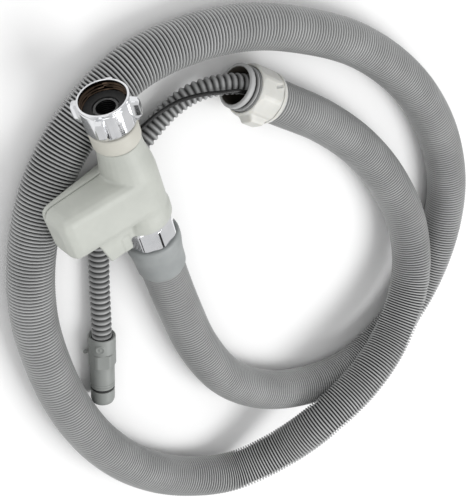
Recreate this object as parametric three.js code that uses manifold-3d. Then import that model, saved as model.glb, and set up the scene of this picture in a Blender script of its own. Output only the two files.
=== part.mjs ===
// Water-stop inlet hose for a washing machine or dishwasher.
//
// A solenoid safety valve sits at the tap end. A corrugated sleeve runs from its outlet cuff to a
// gland ring, and holds the feed tube and the valve's cable, which both come out of its open mouth.
// Everything lies on a floor at z = 0. Units are millimetres, +Z up.
import * as THREE from 'three';
import { ConvexGeometry } from 'three/addons/geometries/ConvexGeometry.js';
import { mergeVertices } from 'three/addons/utils/BufferGeometryUtils.js';
import Module from 'manifold-3d';

const wasm = await Module();
wasm.setup();

// ---- driving dimensions -------------------------------------------------------------------

const GAP = 0.3;                 // clearance between two touching pieces
const ROUND = 28;                // sides of a turned piece
const SLEEVE_R = 14;             // corrugated sleeve, outside
const SLEEVE_BORE = 11.5;
const FEED_R = 6.4;              // feed tube, outside
const FEED_BORE = 5.1;
const CABLE_R = 1.25;
const FEED_SAG = -2.5;           // the feed tube lies low in the sleeve
const CABLE_RISE = 6.6;          // and the cable rides above it

// stations along the valve's flow axis, measured from the rim of the inlet nut
const NUT_LENGTH = 18.8;
const NUT_R = 14.2;
const THREAD_R = 12.9;
const LUG_R = 18.6;
const LUG_TURN = 0.7;             // first lug's angle from +X
const PIPE_R = 9.8;
const COLLAR_START = 19.6;
const COLLAR_END = 31;
const COLLAR_R = 13.8;
const NECK_END = 48;
const BARREL_R = 16;
const FLANGE_START = 84;
const FLANGE_END = 94.5;
const FLANGE_R = 16.8;
const BOSS_R = 13;
const BOSS_END = 104.4;
const UNION_START = 95.2;
const UNION_END = 111.2;
const UNION_FLAT = 14.85;         // from the axis to one of its eight flats
const UNION_TURN = 0.19;          // sets one flat square to the widest view of the nut
const CUFF_START = 111.6;
const CUFF_END = 140;
const CUFF_R = 17;
const CUFF_BORE = 14.5;
const SLEEVE_START = 119;

// the solenoid box beside the barrel: it reaches out along +X and tapers
const BOX_END = 54.5;
const BOX_ROOT = { y: [51.5, 84], z: [-17.5, 16] };
const BOX_TIP = { y: [45.5, 78.5], z: [-12.2, 11.5] };
const BOX_EDGE = 6;
const WALL = 2.4;
const EAR_Z = 5.6;
const EAR_THICK = 2.6;
const SPLIT_Z = -6;              // the two housing shells meet here
const COIL_Y = 66;
const COIL_Z = -1.2;
const SCREW_X = 49.2;
const SCREW_YS = [54.5, 72];
const CABLE_CHANNEL_Z = 9.6;

// moves the whole hose so that its box is centred on the origin and stands on z = 0
const CENTRE = new THREE.Vector3(-0.003, 2.918, 0.28);

// how the valve lies: nut resting on the sleeve, outlet near the floor
const VALVE_AT = new THREE.Vector3(84.2, -177.4, 46.8);
const VALVE_TILT = THREE.MathUtils.degToRad(-11.3);
const VALVE_ROLL = THREE.MathUtils.degToRad(-8);
const VALVE_YAW = THREE.MathUtils.degToRad(5.3);

// the sleeve's route on the floor, from the valve's cuff to the gland
const SLEEVE_ROUTE = [
  [68, 1, 15], [63, 42, 14], [50, 81, 14], [25, 113, 14], [-10, 135, 14], [-50, 144, 14],
  [-90, 134, 14], [-122, 110, 14], [-146, 76, 14], [-158, 38, 14], [-157, -3, 14],
  [-145, -43, 14], [-125, -78, 14], [-98, -109, 14], [-65, -134, 14], [-29, -154, 14],
  [10, -165, 14], [51, -166, 14], [89, -151, 14], [120, -125, 14], [142, -90, 14],
  [155, -51, 14], [159, -10, 14], [157, 31, 14], [148, 71, 14], [131, 108, 14], [105, 140.5, 14],
];
// it climbs over its own first turn here, and comes down again to the gland
const CROSSING_ROUTE = [
  [71, 160.2, 19.5], [34, 157, 31], [-4, 143, 41.5], [-44, 130, 42], [-80, 112, 35],
  [-106, 82, 27], [-114, 42, 20], [-106, 2, 16], [-89, -35, 14], [-65, -68, 14.2],
];
const GLAND_ROUTE = [[-36, -98, 16.8], [-7, -127, 18]];

const GLAND_FLAT = 15.7;
const LATCH_R = 19.8;
const LATCH_TURN = THREE.MathUtils.degToRad(29);
const SLOT_TURN = THREE.MathUtils.degToRad(135);

// the feed tube and the cable after the sleeve's mouth
const FEED_TAIL = [
  [-28.4, -110.9, 15.3], [-18.6, -119.9, 16], [-7.6, -126.9, 15.8], [5.4, -130.6, 13.2],
  [19, -130.6, 9.8], [32, -127, 7.4], [43, -122.2, 6.6], [53, -117.2, 6.6],
  [66, -110.9, 6.6], [76.9, -104.6, 6.6], [86.2, -96.2, 6.6], [93.6, -86.1, 6.6],
  [98.7, -74.6, 6.6], [104.4, -56.5, 6.6], [110, -38.5, 6.9], [116.4, -18, 8.4],
  [121.3, -2.2, 8.9],
];
const CABLE_TAIL = [
  [-36, -98, 23.4], [-6, -126, 25], [4.5, -129.6, 22.6], [15.5, -132.8, 19.6],
  [29.1, -133.8, 15.6], [43.8, -130.8, 12.2], [56.2, -125.4, 9], [69.8, -119, 4.6],
  [80.5, -112.8, 2.2], [91, -109, 1.7], [98, -106.3, 2.6], [102.1, -102.9, 3.9],
];
const COUPLING_AT = new THREE.Vector3(120, -6.5, 8.9);
const COUPLING_TURN = Math.atan2(-14.8, 47.5);
const BOSS_TURN = THREE.MathUtils.degToRad(55);
const GRIP_TURN = THREE.MathUtils.degToRad(9);
const BEAD_TURN = THREE.MathUtils.degToRad(-33);
const PLUG_AT = new THREE.Vector3(108, -97, 4);
const PLUG_TURN = THREE.MathUtils.degToRad(-45);

// ---- finishes -----------------------------------------------------------------------------

const finish = (color, roughness, metalness = 0) =>
  new THREE.MeshStandardMaterial({ color, roughness, metalness });
const CHROME = finish(0xc9ccce, 0.18, 1);
const GREY_SHELL = finish(0xc3c6be, 0.5);
const CREAM = finish(0xc8c6bc, 0.5);
const WHITE_NYLON = finish(0xd8d6d2, 0.45);
const HOSE_GREY = finish(0x96989b, 0.55);
const SOFT_GREY = finish(0x8f9494, 0.6);
const COUPLING_GREY = finish(0x8c8f8c, 0.5);
const BLACK_RUBBER = finish(0x1b1b1c, 0.7);
const BLACK_CABLE = finish(0x141414, 0.4);
const STEEL = finish(0x8d9094, 0.35, 1);
const COPPER = finish(0xa8622f, 0.4, 1);
const BRASS = finish(0xb59a57, 0.35, 1);
const MESH_STEEL = finish(0x9a9ea2, 0.4, 1);

// ---- helpers ------------------------------------------------------------------------------

const vec = (p) => new THREE.Vector3(p[0], p[1], p[2]);

function toSolid(geometry) {
  const bare = geometry.index ? geometry.toNonIndexed() : geometry.clone();
  bare.deleteAttribute('normal');
  bare.deleteAttribute('uv');
  const merged = mergeVertices(bare, 1e-4);
  const triVerts = new Uint32Array(merged.index.array);
  const vertProperties = new Float32Array(merged.attributes.position.array);
  return new wasm.Manifold(new wasm.Mesh({ numProp: 3, vertProperties, triVerts }));
}

function toGeometry(solid) {
  const mesh = solid.getMesh();
  const geometry = new THREE.BufferGeometry();
  geometry.setAttribute('position', new THREE.BufferAttribute(mesh.vertProperties, 3));
  geometry.setIndex(new THREE.BufferAttribute(mesh.triVerts, 1));
  geometry.computeVertexNormals();
  return geometry;
}

// join the first group of shapes, then cut the second group away
function carve(joined, cut = []) {
  let solid = toSolid(joined[0]);
  for (const shape of joined.slice(1)) solid = solid.add(toSolid(shape));
  for (const shape of cut) solid = solid.subtract(toSolid(shape));
  return toGeometry(solid);
}

// a turned shape about the Y axis, from the [radius, y] corners of its half section
function turned(outline, sides = ROUND) {
  const points = outline.map(([r, y]) => new THREE.Vector2(r, y));
  if (THREE.ShapeUtils.area(points) < 0) points.reverse();
  const onAxis = points[0].x === 0;
  if (!onAxis) points.push(points[0].clone());
  return new THREE.LatheGeometry(points, sides);
}

// a plain ring or disc about the Y axis between two stations
function ring(outer, inner, from, to, sides = ROUND) {
  return inner > 0
    ? turned([[inner, from], [outer, from], [outer, to], [inner, to]], sides)
    : turned([[0, from], [outer, from], [outer, to], [0, to]], sides);
}

// the same, about the solenoid's axis, which runs along X
function ringX(outer, inner, from, to, sides = ROUND) {
  const shape = ring(outer, inner, from, to, sides);
  shape.rotateZ(-Math.PI / 2);
  shape.translate(0, COIL_Y, COIL_Z);
  return shape;
}

function block(x, y, z) {
  const shape = new THREE.BoxGeometry(x[1] - x[0], y[1] - y[0], z[1] - z[0]);
  shape.translate((x[0] + x[1]) / 2, (y[0] + y[1]) / 2, (z[0] + z[1]) / 2);
  return shape;
}

function part(name, geometry, material) {
  const mesh = new THREE.Mesh(geometry, material);
  mesh.name = name;
  return mesh;
}

// a tube along a smooth route, round in section, with a bore when one is given
function tubeAlong(route, radius, bore, sides, steps) {
  const circle = (r) => {
    const corners = [];
    for (let i = 0; i < sides; i += 1) {
      const a = (i / sides) * Math.PI * 2;
      corners.push(new THREE.Vector2(Math.cos(a) * r, Math.sin(a) * r));
    }
    return corners;
  };
  const section = new THREE.Shape(circle(radius));
  if (bore > 0) section.holes.push(new THREE.Path(circle(bore).reverse()));
  const curve = new THREE.CatmullRomCurve3(route, false, 'centripetal');
  curve.arcLengthDivisions = 2000;
  return new THREE.ExtrudeGeometry(section, { steps, extrudePath: curve, bevelEnabled: false });
}

// ---- the valve, drawn about its own flow axis ---------------------------------------------

function valvePoint(x, y, z) {
  const turn = new THREE.Euler(VALVE_TILT, VALVE_ROLL, VALVE_YAW, 'ZXY');
  return new THREE.Vector3(x, y, z).applyEuler(turn).add(VALVE_AT);
}

function inletNut() {
  const body = turned([
    [13.2, 0], [14.3, 0.6], [14.3, 1.6], [13.7, 2.2], [NUT_R, 3], [NUT_R, 17.4], [13.4, NUT_LENGTH],
    [PIPE_R + GAP, NUT_LENGTH], [PIPE_R + GAP, 12.8], [THREAD_R, 12.8], [THREAD_R + 0.5, 11],
    [THREAD_R - 0.3, 9.6], [THREAD_R + 0.5, 8.2], [THREAD_R - 0.3, 6.8], [THREAD_R + 0.5, 5.4],
    [THREAD_R - 0.3, 4], [THREAD_R + 0.5, 2.6], [12.8, 1.2],
  ]);
  const lugs = [0, 1, 2, 3].map((i) => {
    const lug = new ConvexGeometry([
      ...[-2.4, 2.4].flatMap((z) => [vec([13.4, 2.6, z]), vec([13.4, 16.4, z])]),
      ...[-1.5, 1.5].flatMap((z) => [vec([LUG_R - 0.8, 2.8, z]), vec([LUG_R, 5, z]),
        vec([LUG_R, 12.5, z]), vec([LUG_R - 2.2, 15.8, z])]),
    ]);
    lug.rotateY(i * Math.PI / 2 - LUG_TURN);
    return lug;
  });
  return carve([body, ...lugs]);
}

function inletCollar() {
  return turned([
    [PIPE_R + GAP, COLLAR_START], [PIPE_R + GAP, COLLAR_END], [12.6, COLLAR_END],
    [13.4, COLLAR_END - 0.5], [COLLAR_R, COLLAR_END - 1.6], [COLLAR_R, COLLAR_START + 0.6],
    [13.3, COLLAR_START],
  ]);
}

function inletWasher() {
  return ring(12.1, 7.4, 6.6, 9.1);
}

function inletFilter() {
  return turned([
    [0, 20.6], [4.4, 20.6], [6.2, 8.4], [6.9, 8.2], [6.9, 7.2], [5.6, 7.2], [3.9, 19.8], [0, 19.8],
  ], 16);
}

// water-carrying body: inlet pipe, side chamber under the diaphragm, and the threaded outlet boss
function valveBody() {
  const shell = turned([
    [0, 9.4], [12.2, 9.4], [12.2, 12.3], [PIPE_R, 12.3], [PIPE_R, 51], [12.6, 53.5],
    [12.6, 86], [BOSS_R, 86.5], [BOSS_R, BOSS_END], [0, BOSS_END],
  ]);
  const chamber = ringX(11.2, 0, 0, 12.3, 20);
  const inletBore = ring(7.2, 0, 9, 61, 20);
  const outletBore = ring(5.5, 0, 63.5, 105, 20);
  const annulus = ringX(9, 4, 6.8, 13, 20);
  const seatTop = ringX(4.2, 0, 12, 13, 20);
  const seatBore = ringX(2.6, 0, 0, 13, 12);
  const port = block([3, 8], [55, 60.5], [COIL_Z - 3, COIL_Z + 3]);
  const channel = ring(CABLE_R + 0.6, 0, 80, 105, 12);
  channel.translate(0, 0, CABLE_CHANNEL_Z);
  return carve([shell, chamber], [inletBore, outletBore, annulus, seatTop, seatBore, port, channel]);
}

// the tapered solenoid box with rounded edges, drawn in by `inset` all round
function boxShape(inset, reach) {
  const rounding = Math.max(BOX_EDGE - inset, 1.5);
  const points = [];
  for (const [x, frame] of [[0, BOX_ROOT], [BOX_END, BOX_TIP]]) {
    const centreX = x === 0 ? 0 : reach - rounding;
    for (const iy of [0, 1]) {
      for (const iz of [0, 1]) {
        const sy = iy ? -1 : 1;
        const sz = iz ? -1 : 1;
        const ball = new THREE.SphereGeometry(rounding, 8, 6);
        ball.translate(
          centreX,
          frame.y[iy] + sy * (inset + rounding),
          frame.z[iz] + sz * (inset + rounding),
        );
        const at = ball.attributes.position;
        for (let i = 0; i < at.count; i += 1) {
          points.push(new THREE.Vector3().fromBufferAttribute(at, i));
        }
      }
    }
  }
  return new ConvexGeometry(points);
}

function housing() {
  const trunk = turned([
    [PIPE_R + GAP, COLLAR_END + GAP], [12.9, COLLAR_END + GAP], [13.6, 40], [14.6, 45],
    [BARREL_R - 0.6, NECK_END + 2], [BARREL_R, NECK_END + 8], [BARREL_R, FLANGE_START - 5],
    [FLANGE_R - 0.9, FLANGE_START], [FLANGE_R, FLANGE_START + 3], [FLANGE_R, FLANGE_END - 1],
    [FLANGE_R - 0.8, FLANGE_END], [BOSS_R + GAP, FLANGE_END], [BOSS_R + GAP, FLANGE_END - 9],
    [BARREL_R - WALL, FLANGE_END - 9.5], [BARREL_R - WALL, 51], [PIPE_R + GAP, 47],
  ]);
  const barrelRoom = turned([
    [0, 51], [BARREL_R - WALL, 51], [BARREL_R - WALL, FLANGE_END - 9.5], [0, FLANGE_END - 9.5],
  ]);
  const inletHole = ring(PIPE_R + GAP, 0, 30, 60);
  const outletHole = ring(BOSS_R + GAP, 0, 80, 100);
  const room = boxShape(WALL, BOX_END - WALL);
  let solid = toSolid(trunk).add(toSolid(boxShape(0, BOX_END)));
  for (const shape of sideEar()) solid = solid.add(toSolid(shape));
  for (const cut of [room, barrelRoom, inletHole, outletHole]) solid = solid.subtract(toSolid(cut));
  for (const y of SCREW_YS) {
    solid = solid.add(toSolid(screwPost(y)).intersect(toSolid(boxShape(1, BOX_END - 1))));
  }
  for (const y of SCREW_YS) solid = solid.subtract(toSolid(screwHole(y)));
  return solid;
}

// a flat ear with three small ribs, beside the outlet flange
function sideEar() {
  const outline = new THREE.Shape([[13.8, 80], [38, 78], [36, 85], [33.4, 98.5], [17.4, 100.8],
    [17.2, 94], [13.8, 94]]
    .map(([x, y]) => new THREE.Vector2(x, y)));
  const plate = new THREE.ExtrudeGeometry(outline, { depth: EAR_THICK, bevelEnabled: false });
  plate.translate(0, 0, EAR_Z);
  const ribs = [0, 1, 2].map((i) => {
    const x = 18.3 + i * 1.9;
    return block([x, x + 0.9], [88, 100 - i * 0.4], [EAR_Z + 1, EAR_Z + EAR_THICK + 0.9]);
  });
  return [plate, ...ribs];
}

function upright(shape, x, y) {
  shape.rotateX(Math.PI / 2);
  shape.translate(x, y, 0);
  return shape;
}

const screwPost = (y) => upright(ring(3.4, 0, -22, 5, 14), SCREW_X, y);

function screwHole(y) {
  const outline = [[0, -30], [3.1, -30], [3.1, -9.2], [1.8, -9.2], [1.8, 4], [0, 4]];
  return upright(turned(outline, 14), SCREW_X, y);
}

function housingScrew(y) {
  const shape = turned([
    [0, -11.8], [2.4, -11.8], [2.7, -11], [2.7, -9.6], [1.4, -9.6], [1.4, 2.4], [0.5, 3.2], [0, 3.2],
  ], 12);
  return upright(shape, SCREW_X, y);
}

function housingShell(upper) {
  const low = upper ? SPLIT_Z + GAP / 2 : -60;
  const high = upper ? 60 : SPLIT_Z - GAP / 2;
  const side = toSolid(block([-60, 90], [20, 110], [low, high]));
  return toGeometry(housing().intersect(side));
}

function diaphragm() {
  const shape = turned([
    [0.9, 12.6], [4.6, 12.6], [4.6, 13], [6.4, 13.2], [8.4, 13], [11, 12.6], [11, 14.1],
    [8.4, 14.3], [6.4, 14.5], [3, 14.1], [0.9, 14.1],
  ], 20);
  shape.rotateZ(-Math.PI / 2);
  shape.translate(0, COIL_Y, COIL_Z);
  return shape;
}

function armatureTube() {
  const shape = turned([
    [4.4, 14.6], [11.1, 14.6], [11.1, 16.9], [5, 16.9], [5, 42.4], [0, 42.4], [0, 41.8], [4.4, 41.8],
  ], 20);
  shape.rotateZ(-Math.PI / 2);
  shape.translate(0, COIL_Y, COIL_Z);
  return shape;
}

const plunger = () => ringX(4.05, 0, 14.8, 29, 16);
const fixedCore = () => ringX(4.05, 0, 35.2, 41.4, 16);

function plungerSpring() {
  const turns = 3;
  const route = [];
  for (let i = 0; i <= 36; i += 1) {
    const a = (i / 36) * turns * Math.PI * 2;
    route.push(vec([29.9 + (i / 36) * 4.4, COIL_Y + Math.cos(a) * 2.7, COIL_Z + Math.sin(a) * 2.7]));
  }
  return tubeAlong(route, 0.45, 0, 6, 36);
}

function coilBobbin() {
  return carve([ringX(6.2, 5.3, 18.6, 40.4, 20), ringX(8.9, 5.3, 18.6, 19.8, 20),
    ringX(8.9, 5.3, 39.2, 40.4, 20)]);
}

const coilWinding = () => ringX(8.5, 6.5, 20.1, 38.9, 24);

function coilYoke() {
  const tall = [COIL_Z - 6.5, COIL_Z + 6.5];
  const wide = [COIL_Y - 8.6, COIL_Y + 10.3];
  const web = block([17.2, 42.1], [COIL_Y + 9.4, COIL_Y + 10.3], tall);
  const near = block([17.2, 18.3], wide, tall);
  const far = block([40.7, 42.1], wide, tall);
  return carve([web, near, far], [ringX(5.35, 0, 10, 50, 20)]);
}

function coilTerminal(z) {
  return block([42.4, 46.8], [COIL_Y - 5.2, COIL_Y - 1], [z - 0.4, z + 0.4]);
}

function outletNut() {
  const outside = turned([
    [14.9, UNION_START], [15.9, UNION_START + 1], [15.9, UNION_END - 1], [14.9, UNION_END],
    [11.9, UNION_END], [11.9, UNION_END - 3], [BOSS_R + GAP, UNION_END - 3],
    [BOSS_R + GAP, UNION_START],
  ], 32);
  const corner = UNION_FLAT / Math.cos(Math.PI / 8);
  const prism = new THREE.CylinderGeometry(corner, corner, 30, 8);
  prism.rotateY(UNION_TURN);
  prism.translate(0, UNION_START + 8, 0);
  return toGeometry(toSolid(outside).intersect(toSolid(prism)));
}

// the tail piece that the union nut clamps: a flange with the cable's hole, and the hose barb
function outletSpigot() {
  const shape = turned([
    [0, BOSS_END + 0.4], [12.6, BOSS_END + 0.4], [12.6, 107.6], [6, 107.6], [4.1, 110],
    [4.3, 113], [4, 113.4], [4.3, 117], [4, 117.4], [3.8, 119], [0, 119],
  ], 20);
  const bore = ring(3.2, 0, 100, 130, 16);
  const channel = ring(CABLE_R + 0.6, 0, 100, 110, 12);
  channel.translate(0, 0, CABLE_CHANNEL_Z);
  return carve([shape], [bore, channel]);
}

const tubeFerrule = () => ring(7.7, FEED_R + 0.3, 111.6, 118.4, 20);

function cuff() {
  return turned([
    [12.4, CUFF_START], [16.4, CUFF_START], [CUFF_R, CUFF_START + 0.8], [CUFF_R, 118.5],
    [16.4, 123], [15.6, 130], [15.4, CUFF_END - 0.6], [15.2, CUFF_END], [CUFF_BORE, CUFF_END],
    [CUFF_BORE, SLEEVE_START - 1], [12.4, SLEEVE_START - 2.5],
  ]);
}

function valve() {
  const group = new THREE.Group();
  group.position.copy(VALVE_AT);
  group.rotation.set(VALVE_TILT, VALVE_ROLL, VALVE_YAW, 'ZXY');
  group.add(
    part('inlet_nut', inletNut(), CHROME),
    part('inlet_washer', inletWasher(), BLACK_RUBBER),
    part('inlet_filter', inletFilter(), MESH_STEEL),
    part('inlet_collar', inletCollar(), CREAM),
    part('valve_body', valveBody(), WHITE_NYLON),
    part('housing_upper', housingShell(true), GREY_SHELL),
    part('housing_lower', housingShell(false), GREY_SHELL),
    ...SCREW_YS.map((y, i) => part(`housing_screw_${i + 1}`, housingScrew(y), STEEL)),
    part('diaphragm', diaphragm(), BLACK_RUBBER),
    part('armature_tube', armatureTube(), BRASS),
    part('plunger', plunger(), STEEL),
    part('plunger_spring', plungerSpring(), STEEL),
    part('fixed_core', fixedCore(), STEEL),
    part('coil_bobbin', coilBobbin(), WHITE_NYLON),
    part('coil_winding', coilWinding(), COPPER),
    part('coil_yoke', coilYoke(), STEEL),
    part('coil_terminal_1', coilTerminal(COIL_Z - 3.5), BRASS),
    part('coil_terminal_2', coilTerminal(COIL_Z + 3.5), BRASS),
    part('outlet_nut', outletNut(), CHROME),
    part('outlet_spigot', outletSpigot(), WHITE_NYLON),
    part('tube_ferrule', tubeFerrule(), BRASS),
    part('cuff', cuff(), SOFT_GREY),
  );
  return group;
}

// ---- sleeve, feed tube and cable ----------------------------------------------------------

const floorRoute = () => [...SLEEVE_ROUTE, ...CROSSING_ROUTE, ...GLAND_ROUTE].map(vec);
const innerRoute = (dz) => lifted(floorRoute().slice(0, -2), dz);
const lifted = (route, dz) => route.map((p) => p.clone().add(new THREE.Vector3(0, 0, dz)));

function sleeveHose() {
  const start = [valvePoint(0, SLEEVE_START, 0), valvePoint(0, 132, 0), valvePoint(0, 146, 0)];
  const route = [...start, ...floorRoute()];
  return tubeAlong(route, SLEEVE_R, SLEEVE_BORE, 12, 66);
}

function feedTube() {
  const start = [valvePoint(0, 110.4, 0), valvePoint(0, 124, 0), valvePoint(0, 138, -0.6)];
  const route = [...start, ...innerRoute(FEED_SAG), ...FEED_TAIL.map(vec)];
  return tubeAlong(route, FEED_R, FEED_BORE, 8, 78);
}

function valveCable() {
  const start = [
    valvePoint(0, 86, CABLE_CHANNEL_Z), valvePoint(0, 96, CABLE_CHANNEL_Z),
    valvePoint(0, 106, CABLE_CHANNEL_Z), valvePoint(0, 119, CABLE_CHANNEL_Z),
    valvePoint(0, 134, CABLE_RISE + 1),
  ];
  const route = [...start, ...innerRoute(CABLE_RISE), ...CABLE_TAIL.map(vec)];
  return tubeAlong(route, CABLE_R, 0, 6, 80);
}

// ---- gland ring near the sleeve's mouth ---------------------------------------------------

function gland() {
  const group = new THREE.Group();
  const mouth = vec(GLAND_ROUTE[1]);
  const inward = vec(GLAND_ROUTE[0]).sub(mouth).normalize();
  group.position.copy(mouth);
  group.quaternion.setFromUnitVectors(new THREE.Vector3(0, 1, 0), inward);
  group.add(
    part('gland_ring', glandRing(), WHITE_NYLON),
    part('gland_clip', glandClip(), WHITE_NYLON),
  );
  return group;
}

// an eight-sided clamp ring with a latch on one side and a slot beside its clip
function glandRing() {
  const outside = turned([
    [SLEEVE_R + GAP, 8], [15.4, 8], [15.9, 8.8], [16.5, 10.6], [16.5, 25.2], [15.9, 26],
    [SLEEVE_R + GAP, 26],
  ], 32);
  const prism = new THREE.CylinderGeometry(GLAND_FLAT / Math.cos(Math.PI / 8),
    GLAND_FLAT / Math.cos(Math.PI / 8), 40, 8);
  prism.rotateY(3 * Math.PI / 8 - LATCH_TURN);
  prism.translate(0, 17, 0);
  const latch = new ConvexGeometry([-1, 1].flatMap((side) => [
    vec([15, 9.5, side * 6]), vec([15, 24.5, side * 6]), vec([LATCH_R, 12.5, side * 3.4]),
    vec([LATCH_R, 19, side * 3.4]), vec([LATCH_R - 2, 23.5, side * 3.4]),
  ]));
  latch.rotateY(-LATCH_TURN);
  const slot = block([15, 18], [19.5, 25], [-0.8, 0.8]);
  slot.rotateY(-SLOT_TURN);
  return toGeometry(toSolid(outside).intersect(toSolid(prism)).add(toSolid(latch))
    .subtract(toSolid(slot)));
}

function glandClip() {
  return turned([
    [SLEEVE_R + GAP, 26.3], [16.3, 26.3], [16.4, 27.4], [16, 28], [15.1, 30],
    [SLEEVE_R + GAP, 30],
  ], 32);
}

// ---- end coupling and cable plug ----------------------------------------------------------

function coupling() {
  const group = new THREE.Group();
  group.position.copy(COUPLING_AT);
  group.rotation.z = COUPLING_TURN;
  group.add(
    part('coupling_body', couplingBody(), COUPLING_GREY),
    part('coupling_collar', couplingCollar(), COUPLING_GREY),
    part('coupling_seal', ring(7.5, 6.7, 38.3, 39.6, 20), BLACK_RUBBER),
    part('coupling_cap', couplingCap(), COUPLING_GREY),
  );
  return group;
}

// a barbed tail inside the tube, six flats to hold it by, and the quick-fit barrel
function couplingBody() {
  const tail = ring(4.2, 0, 1, 12, 16);
  const grip = toSolid(ring(8.75, 0, 11.5, 21.5, 24)).intersect(toSolid(hexagon(7.95, 11.5, 21.5)));
  const barrel = turned([
    [0, 21], [7.6, 21], [7.8, 22], [7.8, 34], [7.5, 34.3], [7.8, 34.6], [7.8, 35.8],
    [7.5, 36.1], [7.8, 36.4], [7.7, 38], [6.4, 38], [6.4, 48], [0, 48],
  ], 24);
  const stem = ring(0.75, 0, 7, 10.4, 8);
  const bead = new THREE.SphereGeometry(1.35, 10, 8);
  bead.translate(0, 10.6, 0);
  for (const shape of [stem, bead]) {
    shape.rotateZ(-Math.PI / 2);
    shape.rotateY(-BEAD_TURN);
    shape.translate(0, 13, 0);
  }
  let solid = grip;
  for (const shape of [tail, barrel, stem, bead]) solid = solid.add(toSolid(shape));
  for (const bore of [ring(3.1, 0, 0, 20, 16), ring(4.9, 0, 18, 50, 16)]) {
    solid = solid.subtract(toSolid(bore));
  }
  return toGeometry(solid);
}

function hexagon(flat, from, to) {
  const corner = flat / Math.cos(Math.PI / 6);
  const shape = new THREE.CylinderGeometry(corner, corner, to - from, 6);
  shape.rotateY(-GRIP_TURN);
  shape.translate(0, (from + to) / 2, 0);
  return shape;
}

// the collar that locks the tube on, with a dished boss on its face
function couplingCollar() {
  const sleeve = turned([
    [FEED_R + GAP, 0.4], [7.6, 0], [8.4, 0], [8.7, 0.5], [8.7, 10.8], [8.4, 11.2],
    [FEED_R + GAP, 11.2],
  ], 24);
  const boss = turned([[0, 8], [3.1, 8], [3.1, 9.1], [2.6, 9.4], [2, 9.1], [0, 8.8]], 18);
  boss.rotateZ(-Math.PI / 2);
  boss.rotateY(-BOSS_TURN);
  boss.translate(0, 6, 0);
  return carve([sleeve, boss]);
}

function couplingCap() {
  const shell = turned([
    [6.7, 39.9], [7.6, 39.9], [7.7, 40.5], [7.7, 47.4], [7.2, 49.2], [6.7, 50], [5.2, 50],
    [5.2, 48.4], [6.7, 48.4],
  ], 24);
  const notch = block([-1.4, 1.4], [48.9, 51], [4, 9]);
  notch.rotateY(-BOSS_TURN);
  return carve([shell], [notch]);
}

// a two-pole plug with three grip ribs on each side and a latch on top
function cablePlug() {
  const shell = block([-6, 6], [-8, 8], [-3.7, 3]);
  const ribs = [-4.5, -2, 0.5].map((y) => block([-6.6, 6.6], [y, y + 1.2], [-2.6, 1.9]));
  const latch = block([-2, 2], [-2, 7], [2.6, 3.8]);
  const sockets = [-2.6, 2.6].map((x) => block([x - 1.1, x + 1.1], [1, 9], [-1.5, 0.9]));
  const mesh = part('cable_plug', carve([shell, ...ribs, latch], sockets), WHITE_NYLON);
  mesh.position.copy(PLUG_AT);
  mesh.rotation.z = PLUG_TURN;
  return mesh;
}

// ---- assembly -----------------------------------------------------------------------------

const hose = new THREE.Group();
hose.position.copy(CENTRE);
hose.add(
  valve(),
  part('sleeve_hose', sleeveHose(), HOSE_GREY),
  part('feed_tube', feedTube(), HOSE_GREY),
  part('valve_cable', valveCable(), BLACK_CABLE),
  gland(),
  coupling(),
  cablePlug(),
);
export default hose;
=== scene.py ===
# %% [markdown]
# A water-stop inlet hose for a washing machine. It has a valve at the tap end, a long corrugated
# sleeve that lies in a loose double coil, and a thin feed tube with a quick coupling on its end.
# The working parts come as a fixed frame. This lesson gives every visible part a finished surface
# and a finished material, and leaves each part exactly where the frame puts it.

# %% Load the frame
import math

import bpy
import numpy as np
from mathutils import Matrix


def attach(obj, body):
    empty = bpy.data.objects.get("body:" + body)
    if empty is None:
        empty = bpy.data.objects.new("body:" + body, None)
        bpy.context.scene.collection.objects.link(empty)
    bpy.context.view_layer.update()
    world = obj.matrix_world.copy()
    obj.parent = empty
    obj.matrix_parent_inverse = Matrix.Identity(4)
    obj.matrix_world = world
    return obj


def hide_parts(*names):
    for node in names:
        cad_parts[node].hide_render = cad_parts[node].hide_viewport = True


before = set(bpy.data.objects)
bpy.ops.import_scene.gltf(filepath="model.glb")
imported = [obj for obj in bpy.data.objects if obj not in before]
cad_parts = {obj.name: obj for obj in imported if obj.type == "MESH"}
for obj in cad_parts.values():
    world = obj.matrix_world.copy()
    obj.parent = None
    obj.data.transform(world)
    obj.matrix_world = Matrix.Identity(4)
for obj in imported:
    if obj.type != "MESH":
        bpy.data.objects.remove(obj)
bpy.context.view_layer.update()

MM = 0.001
print("frame nodes:", len(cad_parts))

# %% [markdown]
# The camera comes first, because the free hoses are judged by what it sees. It looks down at the
# coil from the tap end and is rolled, so its matrix is written out: each row is one of the camera's
# own axes. The lens is long, which keeps the turns of the coil nearly the same width.

# %% Camera
CAMERA_AT = (0.25426, -0.44836, 0.52188)
CAMERA_RIGHT = (-0.808213, 0.205695, 0.551798)
CAMERA_UP = (-0.486846, -0.760563, -0.429563)
CAMERA_BACK = (0.331318, -0.615819, 0.714839)
LENS_MM = 79.2


def make_camera():
    """A camera whose local X, Y and Z axes are the three rows above."""
    data = bpy.data.cameras.new("camera")
    data.lens = LENS_MM
    data.sensor_width = 36
    data.clip_start = 0.01
    camera = bpy.data.objects.new("camera", data)
    bpy.context.scene.collection.objects.link(camera)
    matrix = np.eye(4)
    matrix[:3, 0] = CAMERA_RIGHT
    matrix[:3, 1] = CAMERA_UP
    matrix[:3, 2] = CAMERA_BACK
    matrix[:3, 3] = CAMERA_AT
    camera.matrix_world = Matrix(matrix.tolist())
    bpy.context.scene.camera = camera
    return camera


camera = make_camera()
print("camera at", CAMERA_AT)

# %% [markdown]
# Three small groups of parts lie at an angle: the valve, the gland ring and the coupling. Each is
# easiest to draw about its own Y axis, in millimetres, so each gets a placing function that turns
# and moves an array of points into the frame, in metres.

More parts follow.
